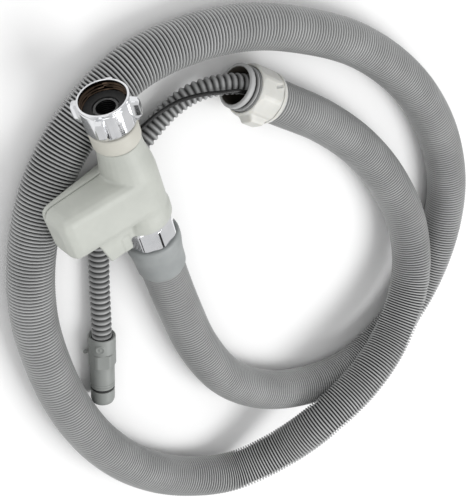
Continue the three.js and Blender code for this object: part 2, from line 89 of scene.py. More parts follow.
# %% Places of the turned groups
CENTRE = np.array([-0.003, 2.918, 0.28])
VALVE_AT = np.array([84.2, -177.4, 46.8])
VALVE_TILT, VALVE_ROLL, VALVE_YAW = -11.3, -8.0, 5.3
COUPLING_AT = np.array([120.0, -6.5, 8.9])
COUPLING_TURN = math.degrees(math.atan2(-14.8, 47.5))
MOUTH = np.array([-7.0, -127.0, 18.0])
MOUTH_INWARD = np.array([-36.0, -98.0, 16.8]) - MOUTH


def turn(axis, degrees):
    """Right-hand rotation matrix about one frame axis."""
    c, s = math.cos(math.radians(degrees)), math.sin(math.radians(degrees))
    rows = {
        "x": [[1, 0, 0], [0, c, -s], [0, s, c]],
        "y": [[c, 0, s], [0, 1, 0], [-s, 0, c]],
        "z": [[c, -s, 0], [s, c, 0], [0, 0, 1]],
    }
    return np.array(rows[axis])


def turn_y_to(direction):
    """The smallest rotation that takes +Y to a direction."""
    d = direction / np.linalg.norm(direction)
    v = np.cross([0.0, 1.0, 0.0], d)
    k = np.array([[0, -v[2], v[1]], [v[2], 0, -v[0]], [-v[1], v[0], 0]])
    return np.eye(3) + k + k @ k / (1 + d[1])


def placer(matrix, origin):
    """A function that takes local points in mm to the frame in metres."""
    return lambda points: (points @ matrix.T + origin + CENTRE) * MM


VALVE_TURN = turn("z", VALVE_YAW) @ turn("x", VALVE_TILT) @ turn("y", VALVE_ROLL)
in_valve = placer(VALVE_TURN, VALVE_AT)
in_coupling = placer(turn("z", COUPLING_TURN), COUPLING_AT)
in_gland = placer(turn_y_to(MOUTH_INWARD), MOUTH)
print("tap nut rim at", in_valve(np.zeros(3)).round(4))

# %% [markdown]
# Every new surface is a grid of points: rows along a profile or a path, columns round it. These
# helpers turn such a grid into a mesh. The faces are turned outwards where the signed volume says
# that they point in, and only edges sharper than a given angle stay hard.

# %% Mesh helpers
def grid_quads(rows, columns, close_rows, close_columns, first=0):
    """Corner numbers of the quads between neighbouring rows and columns."""
    r = np.arange(rows if close_rows else rows - 1)
    c = np.arange(columns if close_columns else columns - 1)
    r, c = (m.ravel() for m in np.meshgrid(r, c, indexing="ij"))
    r2, c2 = (r + 1) % rows, (c + 1) % columns
    quads = np.stack([r * columns + c, r * columns + c2, r2 * columns + c2, r2 * columns + c], 1)
    return quads + first


def facing_out(points, quads):
    """The quads, reversed if the volume that they enclose comes out negative."""
    a, b, c, d = (points[quads[:, i]] for i in range(4))
    volume = (a * np.cross(b, c)).sum() + (a * np.cross(c, d)).sum()
    return quads[:, ::-1] if volume < 0 else quads


def make_mesh(name, points, quads, sharp=38.0, marks=None):
    """A mesh object from points in metres and quads, smooth except at edges over `sharp` degrees.
    marks holds one number per point for each named attribute, which a material can read."""
    quads = facing_out(points, quads)
    mesh = bpy.data.meshes.new(name)
    mesh.vertices.add(len(points))
    mesh.vertices.foreach_set("co", points.astype(np.float32).ravel())
    mesh.loops.add(quads.size)
    mesh.loops.foreach_set("vertex_index", quads.astype(np.int32).ravel())
    mesh.polygons.add(len(quads))
    mesh.polygons.foreach_set("loop_start", np.arange(len(quads), dtype=np.int32) * 4)
    mesh.polygons.foreach_set("use_smooth", np.ones(len(quads), dtype=bool))
    mesh.update(calc_edges=True)
    mesh.validate()
    for key, values in (marks or {}).items():
        layer = mesh.attributes.new(key, "FLOAT", "POINT")
        layer.data.foreach_set("value", values.astype(np.float32).ravel())
    mesh.set_sharp_from_angle(angle=math.radians(sharp))
    piece = bpy.data.objects.new(name, mesh)
    bpy.context.scene.collection.objects.link(piece)
    return piece


def join_grids(grids):
    """Several (points, quads) stacked into one."""
    points, quads, first = [], [], 0
    for p, q in grids:
        points.append(p)
        quads.append(facing_out(p, q) + first)
        first += len(p)
    return np.concatenate(points), np.concatenate(quads)


def stand_for(piece, node, body):
    """The piece takes a node's place on its body, and the node is hidden."""
    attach(piece, body)
    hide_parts(node)
    print(piece.name, "stands for", node, "with", len(piece.data.polygons), "faces")
    return piece


# %% [markdown]
# A hose follows a smooth curve through a few listed points. The curve is the centripetal
# Catmull-Rom spline, which passes through every point and never loops between two close ones. It is
# then sampled again at equal steps of real length, so that ribs come out evenly spaced.

# %% Curves
def spline(points, per_span=60):
    """Centripetal Catmull-Rom: in each span, knots stand apart by the root of the chord."""
    p = np.vstack([2 * points[0] - points[1], points, 2 * points[-1] - points[-2]])
    knot = np.sqrt(np.linalg.norm(np.diff(p, axis=0), axis=1))
    p0, p1, p2, p3 = p[:-3], p[1:-2], p[2:-1], p[3:]
    k0, k1, k2 = (knot[i:len(knot) - 2 + i, None] for i in range(3))
    t1 = ((p1 - p0) / k0 - (p2 - p0) / (k0 + k1) + (p2 - p1) / k1) * k1
    t2 = ((p2 - p1) / k1 - (p3 - p1) / (k1 + k2) + (p3 - p2) / k2) * k1
    u = np.linspace(0, 1, per_span, endpoint=False)[None, :, None]
    a, b, c, d = (m[:, None, :] for m in (p1, t1, p2, t2))
    curve = (
        (2 * u**3 - 3 * u**2 + 1) * a
        + (u**3 - 2 * u**2 + u) * b
        + (3 * u**2 - 2 * u**3) * c
        + (u**3 - u**2) * d
    )
    return np.vstack([curve.reshape(-1, 3), points[-1]])


def length_of(line):
    """Stations along a line of points, and its whole length at the end."""
    return np.concatenate([[0.0], np.cumsum(np.linalg.norm(np.diff(line, axis=0), axis=1))])


def at_stations(line, stations):
    """Points of the line at the given distances from its start."""
    s = length_of(line)
    return np.stack([np.interp(stations, s, line[:, i]) for i in range(3)], 1)


def carry(line, stations, radii, sides, spin=0.0):
    """Circles of the given radii at the given stations, square to the line:
    point = centre + r (cos a * side + sin a * up)."""
    centre = at_stations(line, stations)
    ahead = at_stations(line, stations + 0.4)
    behind = at_stations(line, stations - 0.4)
    tangent = ahead - behind
    tangent /= np.linalg.norm(tangent, axis=1)[:, None]
    side = np.cross(tangent, [0.0, 0.0, 1.0])
    side /= np.linalg.norm(side, axis=1)[:, None]
    up = np.cross(side, tangent)
    a = np.linspace(0, 2 * np.pi, sides, endpoint=False) + spin
    circle = np.cos(a)[None, :, None] * side[:, None] + np.sin(a)[None, :, None] * up[:, None]
    return (centre[:, None] + radii[:, None, None] * circle).reshape(-1, 3)


# %% [markdown]
# The routes. The sleeve leaves the valve's cuff, makes one and a half turns on the floor, climbs
# over its own first turn and comes down to the gland ring. The feed tube and the cable run inside
# it, one low and one high, and come out of its mouth. The curves are wide, except where the sleeve
# starts to climb and where the tube leaves the mouth: a real hose would bend less sharply there.

# %% Routes of the sleeve, the feed tube and the cable
SLEEVE_START = 119.0
FEED_SAG, CABLE_RISE = -2.5, 6.6
CHANNEL_Z = 9.6
SLEEVE_ROUTE = [
    [68, 1, 15], [63, 42, 14], [50, 81, 14], [25, 113, 14], [-10, 135, 14], [-50, 144, 14],
    [-90, 134, 14], [-122, 110, 14], [-146, 76, 14], [-158, 38, 14], [-157, -3, 14],
    [-145, -43, 14], [-125, -78, 14], [-98, -109, 14], [-65, -134, 14], [-29, -154, 14],
    [10, -165, 14], [51, -166, 14], [89, -151, 14], [120, -125, 14], [142, -90, 14],
    [155, -51, 14], [159, -10, 14], [157, 31, 14], [148, 71, 14], [131, 108, 14], [105, 140.5, 14],
]
CROSSING_ROUTE = [
    [71, 160.2, 19.5], [34, 157, 31], [-4, 143, 41.5], [-44, 130, 42], [-80, 112, 35],
    [-106, 82, 27], [-114, 42, 20], [-106, 2, 16], [-89, -35, 14], [-65, -68, 14.2],
]
GLAND_ROUTE = [[-36, -98, 16.8], [-7, -127, 18]]
FEED_TAIL = [
    [-28.4, -110.9, 15.3], [-18.6, -119.9, 16], [-7.6, -126.9, 15.8], [5.4, -130.6, 13.2],
    [19, -130.6, 9.8], [32, -127, 7.4], [43, -122.2, 6.6], [53, -117.2, 6.6],
    [66, -110.9, 6.6], [76.9, -104.6, 6.6], [86.2, -96.2, 6.6], [93.6, -86.1, 6.6],
    [98.7, -74.6, 6.6], [104.4, -56.5, 6.6], [110, -38.5, 6.9], [116.4, -18, 8.4],
    [121.3, -2.2, 8.9],
]
CABLE_TAIL = [
    [-36, -98, 23.4], [-6, -126, 25], [4.5, -129.6, 22.6], [15.5, -132.8, 19.6],
    [29.1, -133.8, 15.6], [43.8, -130.8, 12.2], [56.2, -125.4, 9], [69.8, -119, 4.6],
    [80.5, -112.8, 2.2], [91, -109, 1.7], [98, -106.3, 2.6], [102.1, -102.9, 3.9],
]


def route(start, lift, tail):
    """The valve's points in the valve's own frame, then the floor's, lifted, then the tail."""
    first = in_valve(np.array(start, dtype=float)) / MM
    floor = np.array(SLEEVE_ROUTE + CROSSING_ROUTE, dtype=float) + [0, 0, lift]
    return spline(np.vstack([first, floor + CENTRE, np.array(tail, dtype=float) + CENTRE]))


sleeve_line = route([[0, SLEEVE_START, 0], [0, 132, 0], [0, 146, 0]], 0, GLAND_ROUTE)
feed_line = route([[0, 110.4, 0], [0, 124, 0], [0, 138, -0.6]], FEED_SAG, FEED_TAIL)
cable_line = route(
    [[0, 86, CHANNEL_Z], [0, 96, CHANNEL_Z], [0, 106, CHANNEL_Z], [0, 119, CHANNEL_Z],
     [0, 134, CABLE_RISE + 1]],
    CABLE_RISE,
    CABLE_TAIL,
)
for label, line in (("sleeve", sleeve_line), ("feed tube", feed_line), ("cable", cable_line)):
    print(label, "is", round(length_of(line)[-1] * MM, 3), "m long")

# %% [markdown]
# The sleeve is blown against a row of rings, so it has round crests and narrow grooves at an even
# pitch. One rib is five circles here: two shoulders, a crest between them, and the two sides of the
# groove. Its mouth ends in a plain lip, and its bore is a smooth wall of far fewer circles.

# %% Corrugated sleeve
SLEEVE_R, SLEEVE_BORE, GROOVE_R = 14.0, 11.5, 12.1
SLEEVE_PITCH, SLEEVE_SIDES = 2.05, 23
LIP_LENGTH = 3.4
BORE_CIRCLES = 170


def corrugated(line, crest, groove, pitch, plain_start, plain_end, phases, depths):
    """Stations, radii and groove marks of a ribbed tube: each rib repeats `phases` of a pitch,
    with radius = crest - depth * (crest - groove)."""
    total = length_of(line)[-1]
    ribs = int((total - plain_start - plain_end) / pitch)
    base = plain_start + pitch * np.arange(ribs)[:, None]
    stations = (base + pitch * np.array(phases)[None, :]).ravel()
    depth = np.tile(depths, ribs)
    return stations, crest - depth * (crest - groove), depth


def sleeve_surface():
    """Outer ribs from cuff to lip, then the bore back again, closed into one loop of rows."""
    total = length_of(sleeve_line)[-1]
    stations, radii, depth = corrugated(
        sleeve_line, SLEEVE_R, GROOVE_R, SLEEVE_PITCH, 0.5, LIP_LENGTH,
        [0.0, 0.18, 0.36, 0.54, 0.86], [0.1, 0.0, 0.1, 1.0, 1.0],
    )
    lip = total - np.array([LIP_LENGTH - 0.1, 0.7, 0.2, 0.0])
    bore = np.linspace(total - 0.4, 0.4, BORE_CIRCLES)
    all_stations = np.concatenate([stations, lip, bore])
    all_radii = np.concatenate([radii, [13.7, 13.9, 13.5, 12.3], np.full(len(bore), SLEEVE_BORE)])
    points = carry(sleeve_line, all_stations, all_radii, SLEEVE_SIDES) * MM
    # Painted shade: the bore is marked inside so that the material paints it dark olive-brown, and the
    # groove depth marks where the grooves are painted near-black.
    inside = np.concatenate([np.zeros(len(stations) + len(lip)), np.ones(len(bore))])
    groove = np.concatenate([depth, np.zeros(len(lip) + len(bore))])
    marks = {
        "groove": np.repeat(groove, SLEEVE_SIDES),
        "inside": np.repeat(inside, SLEEVE_SIDES),
    }
    quads = grid_quads(len(all_stations), SLEEVE_SIDES, True, True)
    return make_mesh("sleeve_ribs", points, quads, sharp=179, marks=marks)


sleeve = stand_for(sleeve_surface(), "sleeve_hose", "hose")

# %% [markdown]
# The feed tube has coarser, rounder ribs. Most of it is hidden in the sleeve, so only the stretch
# from just inside the mouth to the coupling is ribbed, and the rest is a plain wall of the same
# size. The cable is a plain round jacket that rests on the tube and then on the floor.

# %% Feed tube and cable
FEED_R, FEED_GROOVE_R, FEED_PITCH, FEED_SIDES = 6.4, 5.1, 3.7, 28
FEED_SHOWN = 330.0
PLAIN_CIRCLES = 200
CABLE_R = 1.25
CABLE_STEP = 3
CABLE_SIDES = 14


def cap_rows(radii, stations, gap=0.02):
    """A tiny closing circle at each end, so that the tube's ends are covered."""
    ends = np.array([stations[0], *stations, stations[-1]])
    return ends, np.array([gap, *radii, gap])


def feed_surface():
    """Plain wall, then ribs of a rounded wave: depth = ((1 - cos 2 pi u) / 2) ** 1.4."""
    total = length_of(feed_line)[-1]
    plain = np.linspace(0.5, total - FEED_SHOWN - 1, PLAIN_CIRCLES)
    phases = np.arange(10) / 10
    depths = ((1 - np.cos(2 * np.pi * phases)) / 2) ** 1.4
    stations, radii, depth = corrugated(
        feed_line, FEED_R, FEED_GROOVE_R, FEED_PITCH, total - FEED_SHOWN, 0.5, phases, depths,
    )
    stations = np.concatenate([plain, stations])
    radii = np.concatenate([np.full(len(plain), FEED_R - 0.1), radii])
    depth = np.concatenate([[0.0], np.zeros(len(plain)), depth, [0.0]])
    stations, radii = cap_rows(radii, stations)
    points = carry(feed_line, stations, radii, FEED_SIDES) * MM
    quads = grid_quads(len(stations), FEED_SIDES, False, True)
    # The groove depth goes to the material, which paints the grooves near-black as painted shade.
    marks = {"groove": np.repeat(depth, FEED_SIDES), "inside": np.zeros(len(points))}
    return make_mesh("feed_tube_ribs", points, quads, sharp=179, marks=marks)


def cable_surface():
    """A plain round tube with one circle every few millimetres."""
    total = length_of(cable_line)[-1]
    stations = np.linspace(0.5, total - 0.5, int(total / CABLE_STEP))
    stations, radii = cap_rows(np.full(len(stations), CABLE_R), stations)
    points = carry(cable_line, stations, radii, CABLE_SIDES) * MM
    quads = grid_quads(len(stations), CABLE_SIDES, False, True)
    return make_mesh("cable_jacket", points, quads, sharp=60)


feed = stand_for(feed_surface(), "feed_tube", "hose")
cable = stand_for(cable_surface(), "valve_cable", "hose")

# %% [markdown]
# Most hard parts of this hose are turned or moulded round an axis. Such a part is a closed half
# section carried round the axis. Its corners are rounded first, because a real edge always catches
# a thin line of light. A swell function may then push the radius in or out with the angle, which
# makes flats, lugs, a thread or a boss out of the same single surface.

# %% Turned surfaces
def soften(corners, size, steps=4):
    """Each corner B of the closed outline becomes (1-t)^2 P + 2 t (1-t) B + t^2 Q, where P and Q
    lie on its two edges, `size` away from it and never past 45% of an edge."""
    b = np.array(corners, dtype=float)
    to_previous = np.roll(b, 1, axis=0) - b
    to_next = np.roll(b, -1, axis=0) - b
    reach_p = np.linalg.norm(to_previous, axis=1)[:, None]
    reach_n = np.linalg.norm(to_next, axis=1)[:, None]
    p = b + to_previous / reach_p * np.minimum(size, 0.45 * reach_p)
    q = b + to_next / reach_n * np.minimum(size, 0.45 * reach_n)
    t = np.linspace(0, 1, steps + 1)[None, :, None]
    arcs = (1 - t) ** 2 * p[:, None] + 2 * t * (1 - t) * b[:, None] + t**2 * q[:, None]
    return arcs.reshape(-1, 2)


def fill_in(outline, step):
    """The closed outline with more points, none further apart than `step`."""
    loop = np.vstack([outline, outline[:1]])
    s = length_of(loop)
    stations = np.union1d(s, np.arange(0, s[-1], step))[:-1]
    return np.stack([np.interp(stations, s, loop[:, i]) for i in range(2)], 1)


def revolve(outline, sides, swell=None):
    """x = r cos a, z = r sin a, with r = swell(r, y, a) where one is given."""
    a = np.linspace(0, 2 * np.pi, sides, endpoint=False)[None, :]
    r, y = np.broadcast_arrays(outline[:, :1], outline[:, 1:] + 0 * a)
    r = r + 0 * a
    if swell:
        r = swell(r, y, a + 0 * r)
    points = np.stack([r * np.cos(a), y, r * np.sin(a)], -1).reshape(-1, 3)
    return points, grid_quads(len(outline), sides, True, True)


def ease(x, low, high):
    """0 below low, 1 above high, and a smooth S between them. low may be the larger."""
    t = np.clip((x - low) / (high - low), 0, 1)
    return t * t * (3 - 2 * t)


def angle_from(a, centre, repeat=2 * np.pi):
    """Signed angle to the nearest of the repeats of `centre`."""
    return (a - centre + repeat / 2) % repeat - repeat / 2


# %% [markdown]
# The tap nut is chrome-plated brass. It has a thin rolled rim, an internal pipe thread and four
# lugs to turn it by hand. The thread is a true helix: the wave moves on by one pitch for each turn.

# %% Tap nut
LUG_TURN, LUG_RISE = 0.7, 4.4
THREAD_R, THREAD_PITCH, THREAD_DEPTH = 12.95, 1.81, 0.5


def nut_swell(r, y, a):
    """Lugs on the outer wall and thread on the inner one."""
    height = np.interp(y, [2.3, 3.0, 5.0, 12.5, 15.8, 16.6], [0, 0.84, 1, 1, 0.5, 0])
    across = np.abs(angle_from(a, LUG_TURN, np.pi / 2)) * 180 / np.pi
    lug = LUG_RISE * height * ease(across, 9.6, 5.4)
    wave = angle_from(2 * np.pi * y / THREAD_PITCH - a, 0.0) / np.pi
    ridge = THREAD_DEPTH * (1 - 2 * ease(np.abs(wave), 0.15, 0.85))
    threaded = ease(y, 1.6, 2.6) * ease(y, 12.4, 11.6)
    inner = (r > 12.2) & (r < 13.1) & (y > 1.3) & (y < 12.7)
    outer = r > 13.4
    return np.where(outer, r + lug, np.where(inner, THREAD_R - ridge * threaded, r))


def tap_nut():
    """The half section runs up the outside, over the back face and down the thread."""
    section = soften([
        [13.1, 0], [14.3, 0.3], [14.3, 1.5], [13.7, 2.1], [14.2, 2.7], [14.2, 17.4], [13.4, 18.8],
        [10.15, 18.8], [10.15, 12.9], [12.9, 12.9], [12.9, 0.9],
    ], 0.35)
    points, quads = revolve(fill_in(section, 0.34), 240, nut_swell)
    # Painted shade: the bore and its thread are marked inside, so that the chrome paints them
    # near-black brown.
    in_bore = np.hypot(points[:, 0], points[:, 2]) < 13.7
    inside = (in_bore & (points[:, 1] > 0.7) & (points[:, 1] < 18)).astype(float)
    return make_mesh("tap_nut", in_valve(points), quads, sharp=42, marks={"inside": inside})


nut = stand_for(tap_nut(), "inlet_nut", "tap_nut")

# %% [markdown]
# The union nut holds the feed tube's tail on the valve. It has eight flats with a narrow round land
# left between them, and a chamfer at each end.

# %% Union nut
FLATS, FLAT_R, FLAT_TURN = 8, 14.85, 0.988


def union_swell(r, y, a):
    """The smaller of the turned radius and the distance to the nearest flat."""
    to_flat = FLAT_R / np.cos(angle_from(a, FLAT_TURN, 2 * np.pi / FLATS))
    flat = np.minimum(r, to_flat)
    return np.where(r > 13.6, flat, r)


def union_nut():
    """A plain ring with a step inside, cut by the flats."""
    section = soften([
        [14.6, 95.2], [15.8, 96.4], [15.8, 110.2], [15.0, 111.2], [11.9, 111.2], [11.9, 108.2],
        [13.3, 108.2], [13.3, 95.2],
    ], 0.3)
    points, quads = revolve(fill_in(section, 0.6), 320, union_swell)
    return make_mesh("union_nut", in_valve(points), quads, sharp=14)


union = stand_for(union_nut(), "outlet_nut", "union_nut")

# %% [markdown]
# The collar behind the tap nut and the soft cuff over the sleeve's start are plain turned shapes.
# The cuff is fat where it covers the union and draws in to the sleeve in a long soft curve.

# %% Collar and cuff
def inlet_collar():
    """A smooth ring with a small shadow step at its lower edge."""
    section = soften([
        [10.15, 19.6], [10.15, 31], [12.6, 31], [13.3, 30.6], [13.8, 29.4], [13.8, 20.4],
        [13.2, 19.6],
    ], 0.5)
    points, quads = revolve(fill_in(section, 1.2), 96)
    return make_mesh("tap_collar", in_valve(points), quads)


def hose_cuff():
    """A bell that narrows to the sleeve."""
    section = soften([
        [12.5, 111.7], [16.2, 111.7], [17, 113], [17, 118.5], [16.3, 123.5], [15.6, 130],
        [15.35, 139.2], [15.0, 140], [14.5, 140], [14.5, 118], [12.5, 116.5],
    ], 1.6, 6)
    points, quads = revolve(fill_in(section, 1.0), 96)
    return make_mesh("soft_cuff", in_valve(points), quads)


collar = stand_for(inlet_collar(), "inlet_collar", "hose")
cuff = stand_for(hose_cuff(), "cuff", "hose")

# %% [markdown]
# The gland ring is a milky nylon clamp. Its outside is an octagon with rounded corners, it carries
# a latch on one side, and a short slot shows where the two halves of its band meet.

# %% Gland ring and its clip
GLAND_FLAT_R, LATCH_TURN, LATCH_RISE = 15.7, math.radians(29), 3.9


def gland_swell(r, y, a):
    """Flats, then the latch as a hump over one of them, then the slot as a narrow dent."""
    to_flat = GLAND_FLAT_R / np.cos(angle_from(a, LATCH_TURN, np.pi / 4))
    body = np.minimum(r, to_flat)
    across = np.abs(angle_from(a, LATCH_TURN)) * 180 / np.pi
    along = ease(y, 9.5, 12.8) * ease(y, 25.4, 21.5)
    latch = LATCH_RISE * ease(across, 22, 10) * along
    slot_centre = np.radians(128 + (y - 19.5) * 1.5)
    near_slot = np.abs(angle_from(a, slot_centre)) * 180 / np.pi
    slot = 1.2 * ease(near_slot, 4.2, 2.6) * ease(y, 19.2, 19.8) * ease(y, 25.2, 24.6)
    return np.where(r > 15.2, body + latch - slot, r)


def gland_ring():
    """Front face, rim, body and back face of the clamp."""
    section = soften([
        [14.3, 8], [15.4, 8], [15.9, 8.8], [16.5, 10.4], [16.5, 25.2], [16, 26], [14.3, 26],
    ], 0.6)
    points, quads = revolve(fill_in(section, 0.5), 300, gland_swell)
    return make_mesh("gland_clamp", in_gland(points), quads, sharp=60)


def gland_clip():
    """A thin rim that slopes down to the sleeve."""
    section = soften([
        [14.3, 26.3], [16.3, 26.3], [16.4, 27.3], [16, 28.1], [15.1, 30], [14.3, 30],
    ], 0.4)
    points, quads = revolve(fill_in(section, 0.8), 96)
    return make_mesh("gland_rim", in_gland(points), quads)


clamp = stand_for(gland_ring(), "gland_ring", "hose")
rim = stand_for(gland_clip(), "gland_clip", "hose")

# %% [markdown]
# The quick coupling has four pieces: a collar with a dished boss, a body with six flats and a
# locking bead, a black seal that shows as a thin dark ring, and a rounded cap.

# %% Coupling
BOSS_TURN, BOSS_Y = math.radians(55), 6.0
GRIP_TURN, GRIP_R = math.radians(69), 7.95
BEAD_TURN = math.radians(-33)


def collar_swell(r, y, a):
    """A boss of three rings: height depends only on the distance to its middle."""
    away = np.hypot(8.7 * angle_from(a, BOSS_TURN), y - BOSS_Y)
    boss = 0.75 * ease(away, 3.3, 2.8) - 0.6 * ease(away, 2.3, 1.7) + 0.25 * ease(away, 0.9, 0.4)
    return np.where(r > 8.2, r + boss, r)


def coupling_collar():
    """A short wide collar with a thin lip at its tube end."""
    section = soften([
        [6.75, 0.6], [7.4, 0.6], [7.7, 0], [8.4, 0], [8.7, 0.5], [8.7, 10.8], [8.4, 11.2],
        [6.75, 11.2],
    ], 0.3)
    points, quads = revolve(fill_in(section, 0.35), 160, collar_swell)
    return make_mesh("quick_collar", in_coupling(points), quads, sharp=50)


def body_swell(r, y, a):
    """Six flats on the grip, and round elsewhere."""
    to_flat = GRIP_R / np.cos(angle_from(a, GRIP_TURN, np.pi / 3))
    return np.where((y < 21.6) & (r > 7.2), np.minimum(r, to_flat), r)


def locking_bead():
    """A small ball on a stem: a half circle and a stem carried round, then tipped sideways."""
    u = np.linspace(-np.pi / 2 + 0.5, np.pi / 2 - 0.02, 14)
    ball = np.stack([1.35 * np.cos(u), 10.6 + 1.35 * np.sin(u)], 1)
    profile = np.vstack([[[0.01, 7.2], [0.75, 7.2], [0.75, 9.2]], ball])
    points, quads = revolve(profile, 20)
    tipped = points @ turn("z", -90).T @ turn("y", -math.degrees(BEAD_TURN)).T
    return tipped + [0, 13, 0], quads


def coupling_body():
    """The tail inside the tube, the grip, the barrel with two fine rings, and the bores."""
    section = soften([
        [3.1, 1], [4.2, 1], [4.2, 11.5], [8.2, 11.5], [8.75, 12.1], [8.75, 20.8], [8.3, 21.4],
        [7.75, 21.8], [7.8, 34], [7.45, 34.3], [7.8, 34.6], [7.8, 35.8], [7.45, 36.1],
        [7.8, 36.4], [7.75, 38], [6.4, 38], [6.4, 48], [4.9, 48], [4.9, 20], [3.1, 20],
    ], 0.18)
    body = revolve(fill_in(section, 0.6), 160, body_swell)
    points, quads = join_grids([body, locking_bead()])
    return make_mesh("quick_body", in_coupling(points), quads, sharp=22)


def coupling_seal():
    """An O-ring: a circle of 0.7 mm carried round the axis."""
    u = np.linspace(0, 2 * np.pi, 16, endpoint=False)
    section = np.stack([7.05 + 0.62 * np.cos(u), 38.95 + 0.62 * np.sin(u)], 1)
    points, quads = revolve(section, 80)
    return make_mesh("quick_seal", in_coupling(points), quads, sharp=179)


def coupling_cap():
    """The rounded end that pushes on to the machine."""
    section = soften([
        [6.7, 39.9], [7.6, 39.9], [7.7, 40.4], [7.7, 47.6], [6.9, 50], [5.2, 50], [5.2, 48.4],
        [6.7, 48.4],
    ], 0.8, 6)
    points, quads = revolve(fill_in(section, 0.6), 120)
    return make_mesh("quick_cap", in_coupling(points), quads)


quick_collar = stand_for(coupling_collar(), "coupling_collar", "hose")
quick_body = stand_for(coupling_body(), "coupling_body", "hose")
quick_seal = stand_for(coupling_seal(), "coupling_seal", "hose")
quick_cap = stand_for(coupling_cap(), "coupling_cap", "hose")

# %% [markdown]
# The valve's housing is one soft moulding of a barrel, a box and a flange, in two shells. Its shape
# is already right in the frame, but its facets show. A copy of each shell is rebuilt from small
# cubes and then relaxed, which rounds every edge and blends the box into the barrel as in a mould.

# %% Valve housing
VOXEL = 0.0006


def moulded(node, name):
    """A copy of a frame node, merged, rebuilt on a fine voxel grid and smoothed."""
    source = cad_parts[node]
    mesh = source.data.copy()
    piece = bpy.data.objects.new(name, mesh)
    bpy.context.scene.collection.objects.link(piece)
    steps = [("weld", "WELD"), ("rebuild", "REMESH"), ("relax", "SMOOTH")]
    mods = {label: piece.modifiers.new(label, kind) for label, kind in steps}
    mods["weld"].merge_threshold = 0.00002
    mods["rebuild"].mode = "VOXEL"
    mods["rebuild"].voxel_size = VOXEL
    mods["relax"].factor = 0.5
    mods["relax"].iterations = 9
    bpy.context.view_layer.update()
    finished = bpy.data.meshes.new_from_object(
        piece.evaluated_get(bpy.context.evaluated_depsgraph_get())
    )
    piece.modifiers.clear()
    piece.data = finished
    finished.name = name
    finished.polygons.foreach_set("use_smooth", np.ones(len(finished.polygons), dtype=bool))
    finished.materials.clear()
    return piece


upper = stand_for(moulded("housing_upper", "shell_top"), "housing_upper", "hose")
lower = stand_for(moulded("housing_lower", "shell_base"), "housing_lower", "hose")

# %% [markdown]
# Materials. Each one starts from a Principled shader whose constant numbers sit on its own sockets.
# Colour and roughness then vary a little with soft noise in Object coordinates, and a fine bump
# gives the moulded or brushed surface its grain. The noise is measured in metres, like the parts.

# %% Material helpers
def shader_of(name):
    """A new material, with its node tree, its links and its Principled shader."""
    material = bpy.data.materials.new(name)
    material.use_nodes = True
    tree = material.node_tree
    return material, tree.nodes, tree.links, tree.nodes["Principled BSDF"]


def noise(nodes, links, scale, detail=3.0, stretch=None):
    """Soft noise in Object coordinates, with `scale` lumps per metre."""
    place = nodes.new("ShaderNodeTexCoord")
    texture = nodes.new("ShaderNodeTexNoise")
    texture.inputs["Scale"].default_value = scale
    texture.inputs["Detail"].default_value = detail
    source = place.outputs["Object"]
    if stretch:
        mapping = nodes.new("ShaderNodeMapping")
        mapping.inputs["Scale"].default_value = stretch
        links.new(source, mapping.inputs["Vector"])
        source = mapping.outputs["Vector"]
    links.new(source, texture.inputs["Vector"])
    return texture.outputs["Fac"]


def ramp(nodes, links, value, low, high, start=0.3, end=0.7):
    """Two colours blended as the value goes from start to end."""
    node = nodes.new("ShaderNodeValToRGB")
    first, last = node.color_ramp.elements
    first.position, last.position = start, end
    first.color, last.color = (*low, 1), (*high, 1)
    links.new(value, node.inputs["Fac"])
    return node.outputs["Color"]


def spread(nodes, links, value, low, high):
    """The value, mapped from 0..1 to low..high."""
    node = nodes.new("ShaderNodeMapRange")
    node.inputs["To Min"].default_value = low
    node.inputs["To Max"].default_value = high
    links.new(value, node.inputs["Value"])
    return node.outputs["Result"]


def mixed(nodes, links, factor, base, other):
    """base where the factor is 0 and other where it is 1."""
    node = nodes.new("ShaderNodeMix")
    node.data_type = "RGBA"
    links.new(factor, node.inputs["Factor"])
    colours = [s for s in node.inputs if s.type == "RGBA"]
    for socket, colour in zip(colours, (base, other)):
        if isinstance(colour, tuple):
            socket.default_value = (*colour, 1)
        else:
            links.new(colour, socket)
    return next(s for s in node.outputs if s.type == "RGBA")


def bumped(nodes, links, shader, height, strength, distance):
    """A bump of the given height field, in metres, into the shader's normal."""
    node = nodes.new("ShaderNodeBump")
    node.inputs["Strength"].default_value = strength
    node.inputs["Distance"].default_value = distance
    links.new(height, node.inputs["Height"])
    links.new(node.outputs["Normal"], shader.inputs["Normal"])


def attribute(nodes, name):
    """A number that the mesh carries at each point."""
    node = nodes.new("ShaderNodeAttribute")
    node.attribute_name = name
    return node.outputs["Fac"]


def moulded_plastic(name, low, high, rough=(0.42, 0.54), grain=2600.0, strength=0.12, milky=0.0):
    """Satin plastic: mottled colour, uneven gloss and a fine spark-eroded grain."""
    material, nodes, links, shader = shader_of(name)
    cloud = noise(nodes, links, 55.0)
    links.new(ramp(nodes, links, cloud, low, high), shader.inputs["Base Color"])
    links.new(spread(nodes, links, noise(nodes, links, 160.0), *rough), shader.inputs["Roughness"])
    shader.inputs["IOR"].default_value = 1.46
    if milky:
        shader.inputs["Subsurface Weight"].default_value = milky
        shader.inputs["Subsurface Scale"].default_value = 0.004
        shader.inputs["Subsurface Radius"].default_value = (1.0, 0.9, 0.75)
    bumped(nodes, links, shader, noise(nodes, links, grain, 2.0), strength, 0.00012)
    return material


